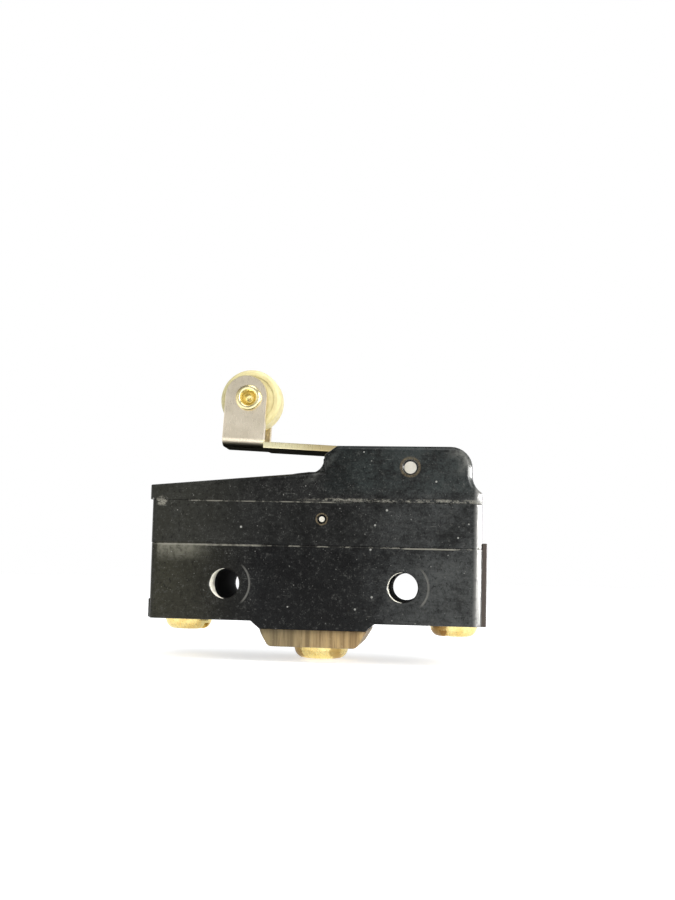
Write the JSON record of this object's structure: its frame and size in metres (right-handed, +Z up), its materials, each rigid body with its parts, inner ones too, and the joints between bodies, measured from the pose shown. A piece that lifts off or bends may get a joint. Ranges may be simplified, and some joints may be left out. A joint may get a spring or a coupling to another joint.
{
  "type": "hinge roller lever micro switch",
  "caption": "Snap-action switch in a black moulded case, worked by a hinged steel lever with a roller, with screw terminals underneath.",
  "frame": {"origin": "midway between the two mounting holes, on their centre line and in the middle of the case's thickness", "axes": "+X along the case towards the lever's pivot end, +Y through the case's thickness along the mounting holes, +Z up towards the roller"},
  "size_m": [0.0486, 0.0174, 0.0432],
  "materials": {
    "black_phenolic": "moulded black phenolic, satin, dusty",
    "brown_laminate": "sawn brown laminate",
    "terminal_brass": "plain brass",
    "screw_brass": "bright turned brass",
    "rivet_brass": "bright pressed brass",
    "lever_steel": "warm plated sheet steel",
    "plain_steel": "plain steel",
    "contact_silver": "silver alloy",
    "spring_bronze": "spring bronze strip",
    "plunger_brown": "brown moulded resin",
    "roller_nylon": "cream moulded nylon"
  },
  "bodies": {
    "case": {"base_housing": "black_phenolic", "middle_frame": "black_phenolic", "top_housing": "black_phenolic", "terminal_block": "brown_laminate", "common_insert": "terminal_brass", "no_insert": "terminal_brass", "nc_insert": "terminal_brass", "common_screw": "screw_brass", "no_screw": "screw_brass", "nc_screw": "screw_brass", "common_washer": "screw_brass", "no_washer": "screw_brass", "nc_washer": "screw_brass", "case_screw_1": "plain_steel", "case_screw_2": "plain_steel", "case_screw_3": "plain_steel", "case_screw_4": "plain_steel", "anchor_bracket": "terminal_brass", "anchor_rivet": "terminal_brass", "spring_seat": "plain_steel", "seat_pin": "plain_steel", "no_strip": "terminal_brass", "nc_strip": "terminal_brass", "no_contact": "contact_silver", "nc_contact": "contact_silver", "pivot_pin": "plain_steel"},
    "lever_arm": {"lever": "lever_steel", "roller_rivet": "rivet_brass"},
    "roller": {"roller": "roller_nylon"},
    "plunger": {"plunger": "plunger_brown"},
    "blade": {"snap_blade": "spring_bronze", "moving_contact": "contact_silver"}
  },
  "joints": [
    {"name": "lever_hinge", "type": "hinge", "parent": "case", "child": "lever_arm", "pos_m": [0.01345, 0, 0.017], "axis": [0, -1, 0], "range_deg": [0, 10.5], "stiffness_Nm_per_rad": 0.12, "springref_deg": -6.88},
    {"name": "roller_spin", "type": "hinge", "parent": "lever_arm", "child": "roller", "pos_m": [-0.01115, 0, 0.02781], "axis": [0, -1, 0], "continuous": true},
    {"name": "plunger_travel", "type": "slide", "parent": "case", "child": "plunger", "axis": [0, 0, -1], "range_m": [0, 0.00104], "deforming": ["snap_blade"]},
    {"name": "contact_travel", "type": "hinge", "parent": "case", "child": "blade", "pos_m": [0.0153, 0, 0.0084], "axis": [0, -1, 0], "range_deg": [0, 1.06]}
  ],
  "couplings": [
    {"joint": "plunger_travel", "follows": "lever_hinge", "m_per_rad": 0.0055629},
    {"joint": "contact_travel", "follows": "lever_hinge", "ratio": 0.1}
  ]
}
